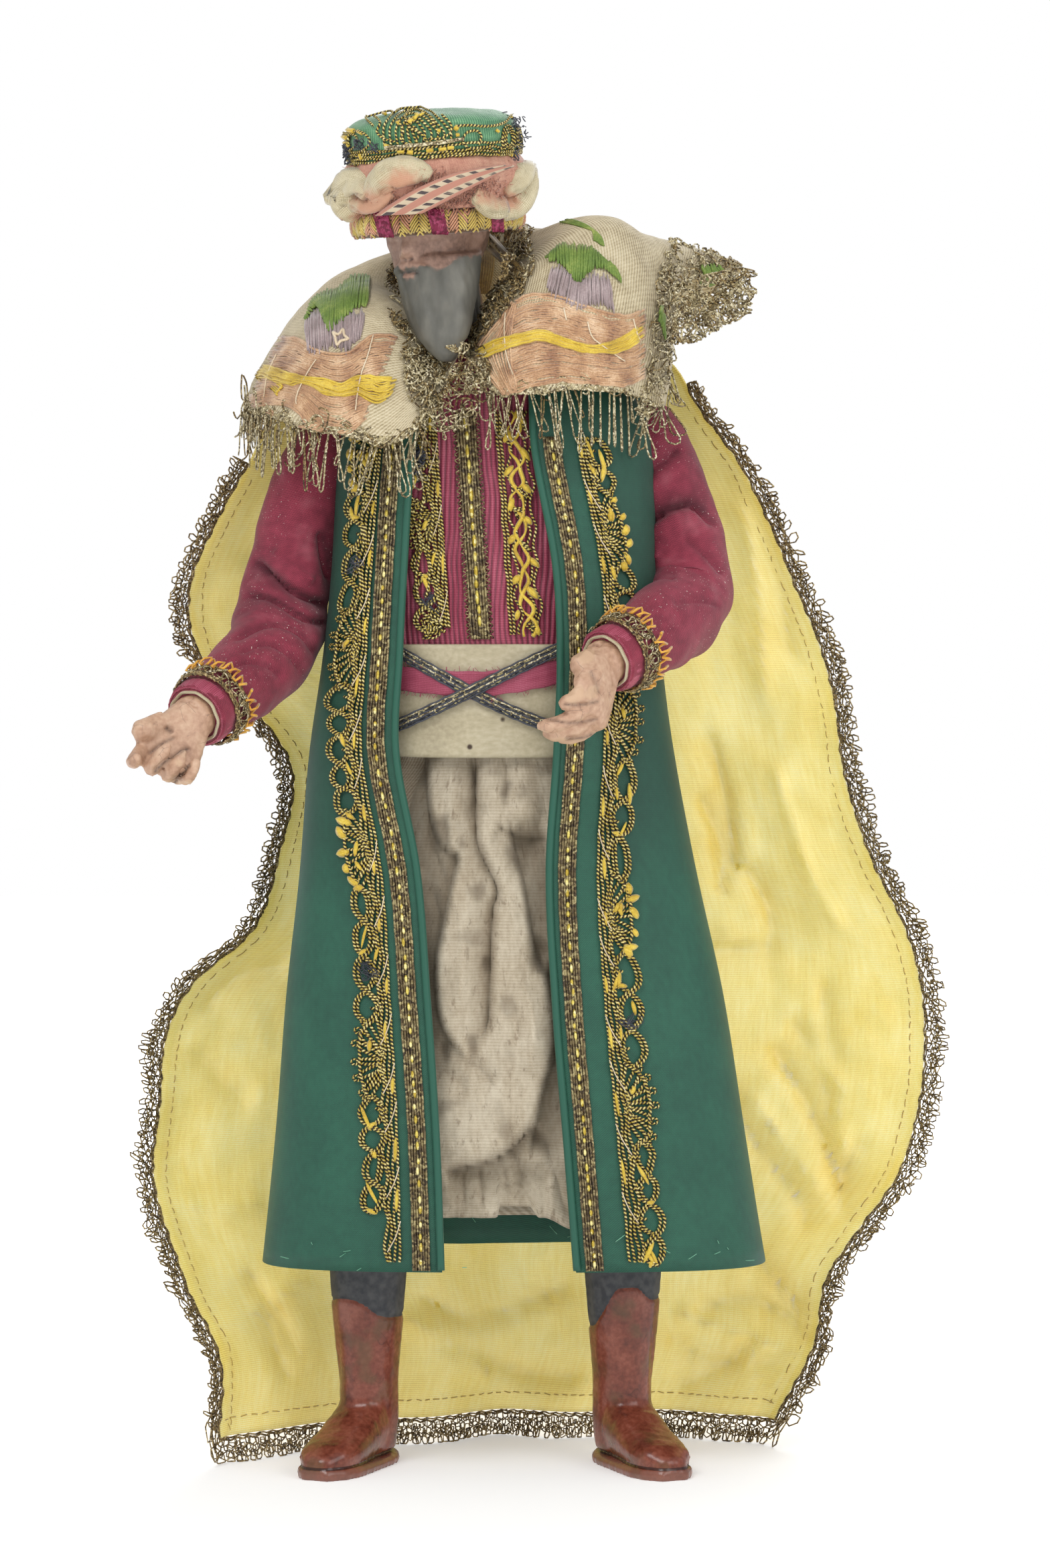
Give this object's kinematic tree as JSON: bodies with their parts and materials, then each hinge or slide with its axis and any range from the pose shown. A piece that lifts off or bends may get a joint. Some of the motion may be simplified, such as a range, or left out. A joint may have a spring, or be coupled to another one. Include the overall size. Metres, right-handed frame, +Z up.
{
  "type": "presepe figure",
  "caption": "Standing bearded crib figure in a turban, green open coat, yellow cloak and embroidered shoulder cape, hands held forward, on booted feet.",
  "frame": {"origin": "on the floor, under the middle of the dressed figure's box", "axes": "+Z up, -Y the way the boots and the coat's fronts face, +X to the figure's left"},
  "size_m": [0.247, 0.1374, 0.4019],
  "materials": {
    "boot_paint": "red-brown gloss paint on terracotta, worn at the toes; blue-black matte stockings above",
    "painted_terracotta": "satin flesh paint, rubbed and chipped, with dirt in the hollows; grey beard",
    "breeches_crepe": "matte silk crepe, grey-beige, stained",
    "crimson_rib": "ribbed silk with a dull sheen",
    "crimson_twill": "soft wool twill with lint and pale wear",
    "gold_braid": "woven metal thread, tarnished, with bright yellow dashes",
    "silk_cord_lace": "yellow silk and dark twisted cord, worn, open work",
    "sash_kid": "smooth ivory kid, slightly soiled",
    "tarnished_braid": "flat metal-thread braid, nearly black in places",
    "tarnished_lace": "looped metal-thread lace and fringe, dull bronze",
    "green_twill": "stiff satin-faced twill with crisp folds",
    "ivory_linen": "matte diagonal weave, embroidered on the cape",
    "yellow_silk": "thin ribbed silk, semi-glossy, creased and stained",
    "herringbone_band": "yellow and pink herringbone weave with crimson bars",
    "pink_silk": "crumpled pink and ivory silk",
    "green_rib_silk": "ribbed silk, slightly faded"
  },
  "bodies": {
    "root": {"right_leg": "boot_paint", "left_leg": "boot_paint", "breeches": "breeches_crepe", "waistcoat": "crimson_rib", "waistcoat_braid": "gold_braid", "waistcoat_lace_right": "silk_cord_lace", "waistcoat_lace_left": "silk_cord_lace", "sash": "sash_kid", "sash_ribbon": "crimson_rib", "sash_braid_falling": "tarnished_braid", "sash_braid_rising": "tarnished_braid", "coat": "green_twill", "coat_galloon_right": "gold_braid", "coat_lace_right": "silk_cord_lace", "coat_galloon_left": "gold_braid", "coat_lace_left": "silk_cord_lace", "coat_lace_left_chest": "silk_cord_lace", "right_sleeve": "crimson_twill", "right_cuff_lace": "tarnished_braid", "right_shirt_cuff": "ivory_linen", "right_hand": "painted_terracotta", "left_sleeve": "crimson_twill", "left_cuff_lace": "tarnished_braid", "left_shirt_cuff": "ivory_linen", "left_hand": "painted_terracotta", "cloak": "yellow_silk", "cloak_lace": "tarnished_lace", "shoulder_cape": "ivory_linen", "cape_fringe": "tarnished_lace", "head": "painted_terracotta", "turban_band": "herringbone_band", "turban_wrap": "pink_silk", "turban_crown": "green_rib_silk", "turban_crown_lace": "silk_cord_lace", "turban_ribbon": "pink_silk"}
  },
  "joints": []
}
